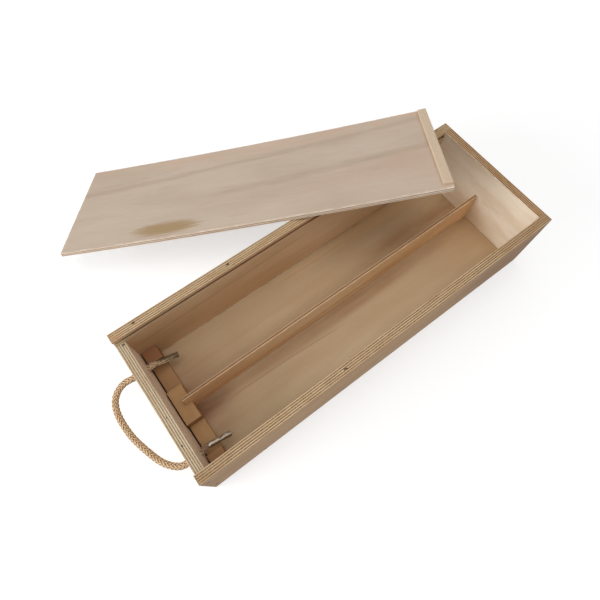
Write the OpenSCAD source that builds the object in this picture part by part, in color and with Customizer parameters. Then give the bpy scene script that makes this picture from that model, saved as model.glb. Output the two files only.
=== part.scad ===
// Two-bottle plywood wine box with a sliding lid, a neck rest, a divider and a rope handle.
// The origin is at the centre of the box's underside. X runs along the box, from the low
// end that carries the handle to the high end. Y runs across it, and Z is up.
// The lid is off its grooves: it leans over the far side wall, with one corner on the ground.

/* [Box] */
// Length over both ends
box_l = 360; // [300:1:420]
// Width over both side walls
box_w = 134; // [120:1:180]
// Height of the side walls
box_h = 76; // [70:1:100]
// Thickness of the plywood walls
wall_t = 8; // [6:0.5:12]
// Thickness of the bottom panel, set between the walls
floor_t = 6.5; // [5:0.5:9]

/* [Lid grooves] */
// Height of the lip above the lid groove
lip_h = 3.6; // [3:0.1:6]
// Height of the lid groove
groove_h = 4.4; // [4.3:0.1:6]
// Depth of the lid groove in each side wall
groove_depth = 3.5; // [2:0.1:4.5]
// How far the low end wall's top lies below the groove
sill_drop = 0.4; // [0:0.1:2]

/* [Lid] */
// Thickness of the lid panel
lid_t = 4; // [3:0.1:4]
// Play of the lid in its grooves, over the whole width and at the far end
lid_play = 0.6; // [0.2:0.1:1.5]
// Width of the pull batten along the lid's end
batten_w = 8; // [6:0.5:15]
// Height of the pull batten
batten_h = 3.4; // [2:0.1:4]
// Rounding of the batten's upper edges
batten_round = 0.8; // [0.2:0.1:1.5]
// Lean of the loose lid against the far side wall, in degrees
lid_lean = 20; // [18:0.5:26]
// Turn of the loose lid on its slope, in degrees
lid_turn = 33.5; // [20:0.5:45]
// Place along X of the lid corner that stands on the ground
lid_corner_x = -114; // [-130:1:-90]

/* [Divider and neck rest] */
// Thickness of the divider
divider_t = 3; // [2.5:0.5:4]
// Height of the divider above the floor
divider_h = 35.5; // [30:0.5:50]
// Thickness of the neck rest along X
rest_t = 13.8; // [10:0.2:20]
// Height of the neck rest above the floor
rest_h = 21.5; // [16:0.5:30]
// Height of the notches' floor above the box's floor
notch_h = 9.5; // [5:0.5:14]
// Width of the raised part between the notches
rest_mid_w = 33; // [24:1:40]
// Width of the raised part at each end
rest_end_w = 13; // [8:1:20]
// Gap between the neck rest and the low end wall
rest_gap = 1.4; // [0.5:0.1:3]
// Depth of the slot in the neck rest that takes the divider
rest_slot = 5.5; // [3:0.5:8]

/* [Rope handle] */
// Diameter of the rope
rope_d = 6; // [5:0.5:6.5]
// Diameter of the rope holes
rope_hole_d = 7; // [6:0.5:9]
// Distance of each rope hole from the middle of the end wall
hole_y = 42; // [40:0.5:43]
// Height of the rope holes
hole_z = 33; // [30:0.5:38]
// Droop of the rope loop below the horizontal, in degrees
rope_droop = 20; // [0:1:50]
// Length of the crimped metal sleeve on each rope end
sleeve_l = 21; // [18:0.5:22]
// Outer diameter of the sleeve
sleeve_d = 4.6; // [4:0.1:5]
// Thickness of the sleeve's sheet metal
sleeve_wall = 0.4; // [0.3:0.05:0.5]

/* [Brads] */
// Diameter of a brad's shank
brad_d = 1.4; // [1:0.1:2]
// Diameter of a brad's head
brad_head_d = 2.6; // [2:0.1:3]
// Length of a brad
brad_l = 25; // [16:1:30]
// Heights of the two brads in each corner
corner_z = [19, 59]; // [10:1:66]
// Brads along each long side of the bottom panel
long_brads = 4; // [2:1:6]
// Brads along each end of the bottom panel
short_brads = 2; // [1:1:3]

/* [Hidden] */

in_w = box_w - 2 * wall_t;
in_l = box_l - 2 * wall_t;
groove_top = box_h - lip_h;
groove_z = groove_top - groove_h;
sill_z = groove_z - sill_drop;
// Play of each brad in its hole, over the whole width
hole_play = 0.1;

brad_head_h = 0.8;
brad_sink = 0.2;

lid_l = box_l - wall_t - lid_play;
lid_w = in_w + 2 * groove_depth - lid_play;
batten_l = in_w - lid_play;
// Distance down the slope from the side wall's edge to the corner on the ground
lid_run = box_h / sin(lid_lean);
// Gap that keeps the loose lid just clear of the edge it leans on
lean_gap = 0.05;

rest_x = -box_l / 2 + wall_t + rest_gap;
divider_x = rest_x + rest_t - rest_slot;
slot_play = 0.1;

rope_r = rope_d / 2;
sides = 12;
// The loop swings about a line just off the wall, through both holes
swing_gap = 0.3;
swing_x = -box_l / 2 - rope_r - swing_gap;
// Loop from the near hole to the far one: reach out from the swing line, place across the box
loop_route = [[0, -42], [3, -42], [7, -41], [12, -37.5], [16.5, -32.5], [20, -27], [23, -20],
              [25.5, -13], [28, -5], [30, 3], [31, 11], [31.4, 18.5], [31, 26], [29.5, 32.5],
              [26.5, 38], [21.5, 42], [15.5, 44], [9, 44], [4, 42.6], [0, 42]];
loop_steps = 2;

// Mouth of each sleeve, and where its axis points: turn about Z, then dip, in degrees
near_mouth = [-165, -40.6, 32];
near_aim = [-3.5, 22];
far_mouth = [-163.5, 42.2, 31.6];
far_aim = [2, 32];
// How far each open seam is turned from its sleeve's underside towards the far side, in degrees
near_seam = 130;
far_seam = -135;
sleeve_bore = sleeve_d / 2 - sleeve_wall;
crimped_r = sleeve_bore - 0.05;
// How far the rope reaches into its sleeve
rope_in = 17;

function unit(v) = v / norm(v);

// Point on a smooth curve through route points a, b, c and d, at t from b to c
function smooth(a, b, c, d, t) =
    0.5 * (2 * b + (c - a) * t + (2 * a - 5 * b + 4 * c - d) * t * t + (3 * b - a - 3 * c + d) * t * t * t);

function smooth_route(p, n) =
    let (last = len(p) - 1)
    [for (i = [0 : last - 1], k = [0 : n - 1])
        smooth(p[max(i - 1, 0)], p[i], p[i + 1], p[min(i + 2, last)], k / n), p[last]];

function route_dir(p, i) = unit(p[min(i + 1, len(p) - 1)] - p[max(i - 1, 0)]);

function route_length(p, i = 0) = i >= len(p) - 1 ? 0 : norm(p[i + 1] - p[i]) + route_length(p, i + 1);

// Ring of a tube at point c, square to direction d, with one axis along up
function ring(c, d, up, r) =
    let (a = unit(cross(up, d)), b = cross(d, a))
    [for (k = [0 : sides - 1]) c + r * cos(360 * k / sides) * a + r * sin(360 * k / sides) * b];

// Closed tube through the rings, as one polyhedron with triangular faces
module tube(rings) {
    n = len(rings);
    points = [for (r = rings) each r];
    walls = [for (i = [0 : n - 2], k = [0 : sides - 1])
        let (j = (k + 1) % sides, a = i * sides, b = a + sides)
        each [[a + k, a + j, b + j], [a + k, b + j, b + k]]];
    ends = [for (k = [1 : sides - 2])
        each [[0, k + 1, k], [(n - 1) * sides, (n - 1) * sides + k, (n - 1) * sides + k + 1]]];
    polyhedron(points, concat(walls, ends));
}

// Far side wall with its lid groove and the holes of its brads
module side_wall() {
    color("burlywood")
    difference() {
        translate([-box_l / 2, in_w / 2, 0]) cube([box_l, wall_t, box_h]);
        translate([-box_l / 2 - 1, in_w / 2 - 1, groove_z])
            cube([box_l + 2, groove_depth + 1, groove_h]);
        corner_places() brad_hole();
        long_places() brad_hole();
    }
}

module side_wall_far() {
    side_wall();
}

module side_wall_near() {
    mirror([0, 1, 0]) side_wall();
}

// Wall between the side walls at the high end, as tall as given
module end_wall(height) {
    difference() {
        translate([in_l / 2, -in_w / 2, 0]) cube([wall_t, in_w, height]);
        both_sides() corner_places() brad_hole();
        short_places() brad_hole();
    }
}

module end_wall_high() {
    color("burlywood") end_wall(box_h);
}

module end_wall_low() {
    color("burlywood")
    difference() {
        mirror([1, 0, 0]) end_wall(sill_z);
        for (s = [-1, 1])
            translate([-box_l / 2 - 1, s * hole_y, hole_z])
                rotate([0, 90, 0]) cylinder(d = rope_hole_d, h = wall_t + 2, $fn = 48);
    }
}

module bottom_panel() {
    color("wheat")
    difference() {
        translate([-in_l / 2, -in_w / 2, 0]) cube([in_l, in_w, floor_t]);
        both_sides() long_places() brad_hole();
        both_ends() short_places() brad_hole();
    }
}

module divider() {
    color("peru")
    translate([divider_x, -divider_t / 2, floor_t])
        cube([in_l / 2 - divider_x, divider_t, divider_h]);
}

// Block with two bottle-neck notches between raised parts, slotted for the divider
module neck_rest() {
    mid = rest_mid_w / 2;
    half = in_w / 2 - slot_play;
    shoulder = half - rest_end_w;
    outline = [[-half, 0], [half, 0], [half, rest_h], [shoulder, rest_h], [shoulder, notch_h],
               [mid, notch_h], [mid, rest_h], [-mid, rest_h], [-mid, notch_h],
               [-shoulder, notch_h], [-shoulder, rest_h], [-half, rest_h]];
    color("tan")
    difference() {
        translate([rest_x, 0, floor_t]) rotate([90, 0, 90])
            linear_extrude(rest_t) polygon(outline);
        translate([divider_x - slot_play, -divider_t / 2 - slot_play, floor_t - 1])
            cube([rest_slot + slot_play + 1, divider_t + 2 * slot_play, rest_h + 2]);
    }
}

// Puts the lid's own frame, X along it and Y across it with its far left corner at the
// origin, onto the slope over the far side wall
module leaning() {
    translate([lid_corner_x, box_w / 2, box_h])
        rotate([-lid_lean, 0, 0])
            translate([0, lid_run, lean_gap])
                rotate([0, 0, -lid_turn])
                    translate([0, -lid_w, 0])
                        children();
}

module lid_panel() {
    color("bisque") leaning() cube([lid_l, lid_w, lid_t]);
}

module lid_batten() {
    r = batten_round;
    color("moccasin")
    leaning()
        translate([lid_l - batten_w, (lid_w + batten_l) / 2, lid_t])
            rotate([90, 0, 0])
                linear_extrude(batten_l) {
                    translate([0, 0]) square([batten_w, batten_h - r]);
                    translate([r, 0]) square([batten_w - 2 * r, batten_h]);
                    for (x = [r, batten_w - r])
                        translate([x, batten_h - r]) circle(r, $fn = 24);
                }
}

// Rope between the two holes, rounded off at the swing line
module rope_loop() {
    out = [-cos(rope_droop), 0, -sin(rope_droop)];
    square_up = cross([0, 1, 0], out);
    flat = smooth_route(loop_route, loop_steps);
    route = [for (p = flat) [swing_x, 0, hole_z] + p[0] * out + [0, p[1], 0]];
    last = len(route) - 1;
    echo(rope_loop_length = route_length(route));
    dome = [80, 55, 28];
    start = [for (a = dome) ring(route[0] - rope_r * sin(a) * out, out, square_up, rope_r * cos(a))];
    body = [for (i = [0 : last])
        ring(route[i], i == 0 ? out : i == last ? -out : route_dir(route, i), square_up, rope_r)];
    end = [for (a = [28, 55, 80])
        ring(route[last] - rope_r * sin(a) * out, -out, square_up, rope_r * cos(a))];
    color("darkkhaki") tube(concat(start, body, end));
}

// Unit vector along a sleeve that is turned about Z and dips below the horizontal
function aim_dir(aim) = [cos(aim[0]) * cos(aim[1]), sin(aim[0]) * cos(aim[1]), -sin(aim[1])];

// Rope from the outer face through the hole and into its sleeve, squeezed by the crimp
module rope_end(y, mouth, aim) {
    d = aim_dir(aim);
    inner = -in_l / 2;
    route = [[-box_l / 2, y, hole_z], [inner, y, hole_z], [inner + 1.5, y, hole_z],
             mouth - 3 * d, mouth - 0.6 * d, mouth + 0.5 * d, mouth + rope_in * d];
    radii = [rope_r, rope_r, rope_r, rope_r - 0.2, crimped_r, crimped_r, crimped_r];
    color("darkkhaki")
    tube([for (i = [0 : len(route) - 1])
        ring(route[i], i < 2 ? [1, 0, 0] : i > 3 ? d : route_dir(route, i), [0, 0, 1], radii[i])]);
}

module rope_end_near() {
    rope_end(-hole_y, near_mouth, near_aim);
}

module rope_end_far() {
    rope_end(hole_y, far_mouth, far_aim);
}

// Rolled sheet-metal sleeve with an open seam along its side
module rope_sleeve(mouth, aim, seam_turn) {
    seam = 0.5;
    color("silver")
    translate(mouth) rotate([0, 0, aim[0]]) rotate([0, 90 + aim[1], 0]) rotate([0, 0, seam_turn])
        difference() {
            cylinder(d = sleeve_d, h = sleeve_l, $fn = 48);
            translate([0, 0, -1]) cylinder(r = sleeve_bore, h = sleeve_l + 2, $fn = 48);
            translate([0, -seam / 2, -1]) cube([sleeve_d, seam, sleeve_l + 2]);
        }
}

module rope_sleeve_near() {
    rope_sleeve(near_mouth, near_aim, near_seam);
}

module rope_sleeve_far() {
    rope_sleeve(far_mouth, far_aim, far_seam);
}

// Brad along +Y with its head at the origin's face, sunk a little into the wood
module brad() {
    translate([0, brad_sink, 0]) rotate([-90, 0, 0]) {
        cylinder(d = brad_d, h = brad_l, $fn = 24);
        cylinder(d = brad_head_d, h = brad_head_h, $fn = 24);
    }
}

// Hole for one brad, open to the face that it is driven through
module brad_hole() {
    rotate([-90, 0, 0]) {
        cylinder(d = brad_d + hole_play, h = brad_sink + brad_l + hole_play, $fn = 24);
        translate([0, 0, -1])
            cylinder(d = brad_head_d + hole_play, h = 1 + brad_sink + brad_head_h, $fn = 24);
    }
}

module both_sides() {
    for (s = [0, 1]) mirror([0, s, 0]) children();
}

module both_ends() {
    for (s = [0, 1]) mirror([s, 0, 0]) children();
}

// Places on the far side wall's outer face, over the end walls' edges
module corner_places() {
    for (x = [-1, 1] * (in_l + wall_t) / 2, z = corner_z)
        translate([x, box_w / 2, z]) rotate([0, 0, 180]) children();
}

// Places on the far side wall's outer face, over the bottom panel's edge
module long_places() {
    for (i = [0 : long_brads - 1])
        translate([in_l * ((i + 0.5) / long_brads - 0.5), box_w / 2, floor_t / 2])
            rotate([0, 0, 180]) children();
}

// Places on the high end wall's outer face, over the bottom panel's edge
module short_places() {
    for (i = [0 : short_brads - 1])
        translate([box_l / 2, in_w * ((i + 0.5) / short_brads - 0.5), floor_t / 2])
            rotate([0, 0, 90]) children();
}

module corner_brads() {
    color("gray") both_sides() corner_places() brad();
}

module bottom_brads() {
    color("gray") {
        both_sides() long_places() brad();
        both_ends() short_places() brad();
    }
}

side_wall_near();
side_wall_far();
end_wall_low();
end_wall_high();
bottom_panel();
divider();
neck_rest();
lid_panel();
lid_batten();
rope_loop();
rope_end_near();
rope_end_far();
rope_sleeve_near();
rope_sleeve_far();
corner_brads();
bottom_brads();
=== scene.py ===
import random
from functools import partial
from math import atan2, cos, pi, radians, sin

import bpy
from mathutils import Matrix, Vector


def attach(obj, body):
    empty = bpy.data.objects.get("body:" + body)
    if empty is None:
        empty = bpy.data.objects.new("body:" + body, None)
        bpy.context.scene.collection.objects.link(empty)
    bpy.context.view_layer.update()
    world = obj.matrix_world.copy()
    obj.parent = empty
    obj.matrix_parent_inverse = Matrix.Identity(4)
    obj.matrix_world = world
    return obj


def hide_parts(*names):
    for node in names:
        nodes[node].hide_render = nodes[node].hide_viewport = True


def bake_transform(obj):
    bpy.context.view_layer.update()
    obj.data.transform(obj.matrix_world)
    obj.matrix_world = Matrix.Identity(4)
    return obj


# An open plywood wine box for two slim bottles: its lid leans over the far side, and a braided
# rope handle hangs on the low end. X runs from the low end to the high end, Y from the near
# side to the far side, Z is up, and everything is in metres.

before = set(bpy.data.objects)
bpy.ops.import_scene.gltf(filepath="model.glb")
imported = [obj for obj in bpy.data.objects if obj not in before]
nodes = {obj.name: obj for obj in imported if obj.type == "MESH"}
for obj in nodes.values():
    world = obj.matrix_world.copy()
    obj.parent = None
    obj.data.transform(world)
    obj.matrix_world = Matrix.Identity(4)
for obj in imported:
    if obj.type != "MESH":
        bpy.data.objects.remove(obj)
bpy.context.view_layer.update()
scene = bpy.context.scene
mm = 0.001

outerEnd, outerSide, boxHeight = 0.180, 0.067, 0.076
wall, floorTop = 0.008, 0.0065
insideEnd, insideSide = outerEnd - wall, outerSide - wall

print("camera")
cameraSetup = {
    "place": (-0.13173, -0.10769, 0.41484),
    "turn": (22.667, -0.952, -36.754),  # degrees
    "focalPixels": 459.8,  # for a picture 600 pixels wide
}
bpy.ops.object.camera_add(
    location=cameraSetup["place"], rotation=[radians(a) for a in cameraSetup["turn"]])
camera = bpy.context.object
camera.name = "photoCamera"
camera.data.sensor_width = 36
camera.data.lens = 36 * cameraSetup["focalPixels"] / 600
camera.data.clip_start = 0.01
scene.camera = camera


# selects these alone, with the first one active
def pick(*things):
    for other in list(bpy.context.selected_objects):
        other.select_set(False)
    for thing in things:
        thing.select_set(True)
    bpy.context.view_layer.objects.active = things[0]


# place, turn and size go into the mesh
def settle(thing):
    pick(thing)
    bpy.ops.object.transform_apply(location=True, rotation=True, scale=True)
    return thing


def named(name):
    made = bpy.context.object
    made.name = made.data.name = name
    return made


# opens edit mode with only the wanted edges or faces selected; wanted gets their corners
def editWanted(thing, kind, wanted):
    pick(thing)
    mesh = thing.data
    for part in (*mesh.vertices, *mesh.edges, *mesh.polygons):
        part.select = False
    for part in mesh.edges if kind == "EDGE" else mesh.polygons:
        part.select = wanted(*[mesh.vertices[i].co for i in part.vertices])
    editMode(kind)


def editMode(kind):
    bpy.ops.object.mode_set(mode="EDIT")
    bpy.ops.mesh.select_mode(type=kind)


def objectMode():
    bpy.ops.object.mode_set(mode="OBJECT")


def addBlock(name, low, high):
    bpy.ops.mesh.primitive_cube_add(
        size=1,
        location=[(a + b) / 2 for a, b in zip(low, high)],
        scale=[b - a for a, b in zip(low, high)],
    )
    return settle(named(name))


# opens edit mode with the whole mesh selected
def editAll(thing):
    pick(thing)
    bpy.ops.object.mode_set(mode="EDIT")
    bpy.ops.mesh.select_all(action="SELECT")


# rounds the edges that are selected in edit mode, and ends it
def roundEdges(width, steps=2):
    bpy.ops.mesh.bevel(offset=width, segments=steps, affect="EDGES")
    objectMode()


# rounds every edge a little, as sandpaper does
def easeEdges(thing, width):
    editAll(thing)
    bpy.ops.mesh.select_mode(type="EDGE")
    roundEdges(width)


# cuts the mesh that is in edit mode into even slices, and ends edit mode
def sliceUp(start, step, count):
    for k in range(1, count):
        bpy.ops.mesh.select_all(action="SELECT")
        bpy.ops.mesh.bisect(plane_co=start + k * step, plane_no=step.normalized())
    objectMode()


# adds a modifier with these settings, and applies it
def modify(thing, kind, **settings):
    pick(thing)
    bpy.ops.object.modifier_add(type=kind)
    added = thing.modifiers[-1]
    for key, value in settings.items():
        setattr(added, key, value)
    bpy.ops.object.modifier_apply(modifier=added.name)


def addRod(name, place, radius, depth, turn=(0, 0, 0), sides=32):
    bpy.ops.mesh.primitive_cylinder_add(
        vertices=sides, radius=radius, depth=depth, location=place, rotation=turn
    )
    return settle(named(name))


def joined(parts):
    pick(*parts)
    if len(parts) > 1:
        bpy.ops.object.join()
    return parts[0]


def cutAway(board, cutters):
    cutter = joined(cutters)
    modify(board, "BOOLEAN", operation="DIFFERENCE", solver="EXACT", object=cutter)
    bpy.data.objects.remove(cutter)
    return board


# a rough small hollow, for a gap in a core ply or a chip; turned about Z, in degrees
def addGouge(place, size, turn, seed):
    bpy.ops.mesh.primitive_ico_sphere_add(
        subdivisions=2, radius=0.5, location=place, scale=size,
        rotation=(0, 0, radians(turn)))
    gouge = settle(named("gouge"))
    editAll(gouge)
    bpy.ops.transform.vertex_random(offset=min(size) * 0.08, uniform=0.6, seed=seed)
    objectMode()
    return gouge


def finished(piece, material, replaced, body="box"):
    piece.data.materials.clear()
    piece.data.materials.append(material)
    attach(piece, body)
    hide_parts(replaced)


# a screen colour, 0 to 255, as the linear colour of a socket
def tone(*levels):
    levels = [level / 255 for level in levels]
    return [v / 12.92 if v <= 0.04045 else ((v + 0.055) / 1.055) ** 2.4 for v in levels] + [1]


# nodes go into one tree at a time: current holds it, with its material and shader
current = {}


def startMaterial(name):
    material = bpy.data.materials.new(name)
    material.use_nodes = True
    material.node_tree.nodes.clear()
    current.update(material=material, tree=material.node_tree)
    current["shader"] = addNode("BsdfPrincipled")
    addNode("OutputMaterial", {"Surface": current["shader"].outputs[0]})


def feed(socket, value):
    if isinstance(value, bpy.types.NodeSocket):
        current["tree"].links.new(value, socket)
    else:
        socket.default_value = value


def setShader(name, value):
    feed(current["shader"].inputs[name], value)


def addNode(kind, inputs=(), **settings):
    made = current["tree"].nodes.new("ShaderNode" + kind)
    for key, value in settings.items():
        setattr(made, key, value)
    for key, value in dict(inputs).items():
        feed(made.inputs[key], value)
    return made


# each of these adds one or a few nodes, and returns the socket with the result
def calc(operation, *values):
    return addNode("Math", dict(enumerate(values)), operation=operation).outputs[0]


times, minus, timesPlus, absolute = (
    partial(calc, operation) for operation in ("MULTIPLY", "SUBTRACT", "MULTIPLY_ADD", "ABSOLUTE"))


def vectorCalc(operation, *values):
    return addNode("VectorMath", dict(enumerate(values)), operation=operation).outputs


def apart(coords):
    return addNode("SeparateXYZ", {0: coords}).outputs


# value's smooth step from low to high
def span(value, low, high, start=0.0, end=1.0):
    inputs = {"Value": value, "From Min": low, "From Max": high, "To Min": start, "To Max": end}
    return addNode("MapRange", inputs, interpolation_type="SMOOTHSTEP").outputs[0]


# noise on millimetre coordinates, with its own scale along each axis
def noise(coords, scale, detail=3, rough=0.5, shift=(0, 0, 0)):
    spread = addNode("Mapping", {"Vector": coords, "Location": shift, "Scale": scale})
    inputs = {"Vector": spread.outputs[0], "Scale": 1.0, "Detail": detail, "Roughness": rough}
    return addNode("TexNoise", inputs).outputs["Fac"]


# 1 inside an egg-shaped spot, 0 at its surface and beyond
def within(coords, middle, half, soft):
    away = vectorCalc("SUBTRACT", coords, middle)[0]
    away = vectorCalc("DIVIDE", away, half)[0]
    return span(vectorCalc("LENGTH", away)["Value"], 1.0, 1.0 - soft)


# nearness to a line from start to end on a board's face, 1 on it
def nearLine(x, y, line):
    startX, startY, endX, endY, half, share = line
    fade = 14  # mm at each end
    rise = (endY - startY) / (endX - startX)
    level = timesPlus(x, rise, startY - rise * startX)
    off = absolute(minus(y, level))
    near = span(off, half, 0.0, 0.0, share)
    ends = times(span(x, startX - fade, startX + fade), span(x, endX + fade, endX - fade))
    return times(near, ends)


# a tuple is a screen colour, and becomes linear here
def blend(share, first, second):
    made = addNode("Mix", data_type="RGBA")
    for index, value in ((0, share), (6, first), (7, second)):
        feed(made.inputs[index], tone(*value) if isinstance(value, tuple) else value)
    return made.outputs[2]


# millimetres on a board: X along its grain, Y across it, Z through it
def boardCoords(middle=(0, 0, 0), along=(1, 0, 0), across=(0, 1, 0)):
    x, y = Vector(along).normalized(), Vector(across).normalized()
    turn = Matrix((x, y, x.cross(y))).transposed().to_euler()
    place = addNode("TexCoord").outputs["Object"]
    inputs = {"Vector": place, "Location": middle, "Rotation": turn, "Scale": (mm, mm, mm)}
    return addNode("Mapping", inputs, vector_type="TEXTURE").outputs[0]


def finishMaterial(colour, rough, height, depth, strength=1.0):
    setShader("Base Color", colour)
    setShader("Roughness", rough)
    bump = addNode("Bump", {"Height": height, "Distance": depth, "Strength": strength})
    setShader("Normal", bump.outputs[0])
    return current["material"]


# plywood: veneer on its faces, its plies on its edges, from the board's own coordinates
def plyMaterial(name, board, extras=None):
    startMaterial(name)
    seed = board["seed"] * 37.0
    spot = boardCoords(board["middle"], board["along"], board["across"])
    length, width, thick = [v / mm for v in board["size"]]
    x, y, z = apart(spot)
    shift = (seed, seed * 0.7, seed * 1.3)
    if board["bow"]:  # follows the bend of a bowed board
        part = calc("DIVIDE", x, length / 2)
        z = timesPlus(times(part, part), -board["bow"] / mm, z)

    # the grain wanders a little sideways
    drift = noise(spot, (0.006, 0.02, 0), 2, shift=shift)
    sideways = minus(drift, 0.5)
    wander = timesPlus(sideways, board["wander"], y)
    grain = addNode("CombineXYZ", {0: x, 1: wander, 2: z}).outputs[0]

    streak = noise(grain, (0.011, 0.22, 0.3), 4, 0.6, shift)
    broad = noise(grain, (0.009, 0.028, 0.05), 4, 0.55, shift)
    fibre = noise(grain, (0.16, 4.5, 4.5), 3, 0.65, shift)
    pore = noise(grain, (0.5, 6.0, 6.0), 2, 0.5, shift)

    # face veneer, with a few long dark lines: mostly grain lines, and on the bottom board one
    # painted shadow
    veneer = blend(span(broad, 0.36, 0.66, 0, board["patchy"]), board["pale"], board["patch"])
    veneer = blend(span(streak, 0.38, 0.7, 0, board["streaky"]), veneer, board["deep"])
    ragged = span(noise(grain, (0.03, 0.9, 0.9), 3, 0.6, shift), 0.3, 0.55, 0.25, 1.0)
    for line in board["lines"]:
        near = nearLine(x, wander, line)
        veneer = blend(times(near, ragged), veneer, board["line"])
    clouds = span(noise(grain, (0.02, 0.07, 0.07), 3, 0.6, shift), 0.3, 0.6, 0.6, 1.0)
    level, reach = board["face"]
    for middleX, middleY, halfX, halfY, soft, share, tint in board["tints"]:
        inside = within(spot, (middleX, middleY, level), (halfX, halfY, reach), soft)
        veneer = blend(times(inside, times(clouds, share)), veneer, tint)
    if extras:
        veneer = extras(veneer, x, y, z, grain)

    # the plies on the edges: pale along the grain, dark and dashed where they are cut across
    ripple = noise(spot, (0.05, 0.05, 0), 3, shift=shift)
    depth = timesPlus(z, board["plies"] / thick, board["plies"] / 2)
    depth = timesPlus(minus(ripple, 0.5), board["ripple"], depth)
    layer = calc("FLOOR", depth)
    fromMiddle = absolute(minus(minus(depth, layer), 0.5))
    odd = calc("MODULO", layer, 2.0)
    onEnd = calc("GREATER_THAN", absolute(x), length / 2 - 0.5)
    crossCut = absolute(minus(odd, onEnd))
    endPores = noise(spot, (0.9, 0.9, 0.9), 3, 0.65, shift)
    crossTone = blend(span(endPores, 0.4, 0.62), board["plyDark"], board["plyDarker"])
    tint = noise(spot, (0.05, 0.05, 0.9), 3, 0.6, (seed, 4, 4))
    longTone = blend(span(tint, 0.4, 0.66), board["plyPale"], board["plyTint"])
    edge = blend(crossCut, longTone, crossTone)
    glue = span(fromMiddle, 0.34, 0.48, 0, board["glueShare"])
    edge = blend(glue, edge, board["glue"])

    fromFace = minus(thick / 2, absolute(z))
    onFace = minus(1.0, span(fromFace, 0.1, 0.3))
    wood = blend(onFace, edge, veneer)

    # fibres and pores on all of it
    wood = blend(span(fibre, 0.35, 0.7, 0, board["fibreShare"]), wood, board["fibre"])
    poreMark = span(pore, 0.63, 0.74)
    wood = blend(times(poreMark, board["poreShare"]), wood, board["pore"])

    # handled, slightly dirty borders of the faces
    fromEnd = minus(length / 2, absolute(x))
    fromSide = minus(width / 2, absolute(y))
    border = span(calc("MINIMUM", fromEnd, fromSide), 2.2, 0.0)
    scuffs = noise(spot, (0.12, 0.12, 0.12), 4, 0.65, shift)
    worn = times(times(border, onFace), span(scuffs, 0.4, 0.62, 0, 0.5))
    wood = blend(worn, wood, board["wear"])

    # painted shade in the gaps of the core plies and in the far wall's groove, stains round the
    # brads, and whatever else marks face and edge
    for middle, half, soft, share, tint in board["spots"]:
        inside = within(spot, middle, half, soft)
        wood = blend(times(inside, share), wood, tint)

    rough = timesPlus(streak, 0.16, board["rough"] - 0.08)
    height = timesPlus(fibre, 0.5, times(streak, 0.5))
    height = timesPlus(poreMark, -0.5, height)
    sunk = times(crossCut, minus(1.0, onFace))
    height = timesPlus(sunk, -0.7, height)
    height = timesPlus(times(sunk, endPores), 0.8, height)
    setShader("Specular IOR Level", 0.3)
    return finishMaterial(wood, rough, height, 0.00016, 0.8)


# sawn softwood: growth rings round a pith that lies outside the piece, lines along it
def solidMaterial(name, block, extras=None):
    startMaterial(name)
    seed = block["seed"] * 41.0
    spot = boardCoords(block["middle"], block["along"], block["across"])
    shift = (seed, seed * 0.6, seed * 1.4)
    x, y, z = apart(spot)
    drift = noise(spot, (0.02, 0.06, 0.06), 3, shift=shift)
    pithY, pithZ = block["pith"]
    offY = minus(y, pithY)
    offZ = minus(z, pithZ)
    reach = calc("SQRT", calc("ADD", times(offY, offY), times(offZ, offZ)))
    rings = timesPlus(drift, block["wobble"], reach)
    ring = calc("FRACT", calc("DIVIDE", rings, block["ring"]))
    late = times(span(ring, 0.25, 0.9), minus(1.0, span(ring, 0.93, 1.0)))
    fibre = noise(spot, (0.2, 5.0, 5.0), 3, 0.65, shift)
    broad = noise(spot, (0.02, 0.1, 0.1), 3, 0.5, shift)
    wood = blend(times(late, block["contrast"]), block["pale"], block["deep"])
    wood = blend(span(broad, 0.4, 0.68, 0, 0.5), wood, block["patch"])
    if extras:
        wood = extras(wood, x)
    wood = blend(span(fibre, 0.36, 0.7, 0, 0.3), wood, block["fibre"])
    length = block["size"][0] / mm
    onEnd = calc("GREATER_THAN", absolute(x), length / 2 - 0.3)
    endPores = noise(spot, (4.0, 4.0, 4.0), 3, 0.7, shift)
    wood = blend(times(onEnd, span(endPores, 0.3, 0.7, 0.15, 0.6)), wood, block["deep"])
    rough = timesPlus(broad, 0.2, block["rough"] - 0.1)
    height = timesPlus(fibre, 0.6, times(late, 0.4))
    setShader("Specular IOR Level", 0.3)
    return finishMaterial(wood, rough, height, 0.00018, 0.8)


print("rope handle")
rope = {
    "holeHeight": 0.033,
    "swingX": -0.1833,
    "droop": radians(20),
    "mouths": ((-0.165, -0.0406, 0.032), (-0.1635, 0.0422, 0.0316)),
    "aims": ((-3.5, 22), (2, 32)),  # turn about Z, then dip, in degrees
    "inSleeve": 17 * mm,
    "squeezed": 0.60,  # its girth inside a sleeve
    "pitch": 28 * mm,  # one turn of a strand round the rope
    "strandsEachWay": 8,
    "halfWidth": 0.68 * mm,
    "halfDepth": 0.50 * mm,
    "middleRadius": 2.10 * mm,
    "overUnder": 0.46 * mm,
    "coreRadius": 1.60 * mm,
    "coreMark": 4.0,  # V of the core's UV, by which its material knows it
    "step": 0.7 * mm,
}
# from the near hole to the far one: reach out from the swing line, and place across the box
loopRoute = [
    (0, -0.042), (0.003, -0.042), (0.007, -0.041), (0.012, -0.0375), (0.0165, -0.0325),
    (0.020, -0.027), (0.023, -0.020), (0.0255, -0.013), (0.028, -0.005), (0.030, 0.003),
    (0.031, 0.011), (0.0314, 0.0185), (0.031, 0.026), (0.0295, 0.0325), (0.0265, 0.038),
    (0.0215, 0.042), (0.0155, 0.044), (0.009, 0.044), (0.004, 0.0426), (0, 0.042),
]


def aimOf(angles):
    turn, dip = (radians(a) for a in angles)
    flat = cos(dip)
    return Vector((cos(turn) * flat, sin(turn) * flat, -sin(dip)))


# a direction at this angle from first towards second
def turned(angle, first, second):
    return cos(angle) * first + sin(angle) * second


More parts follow.
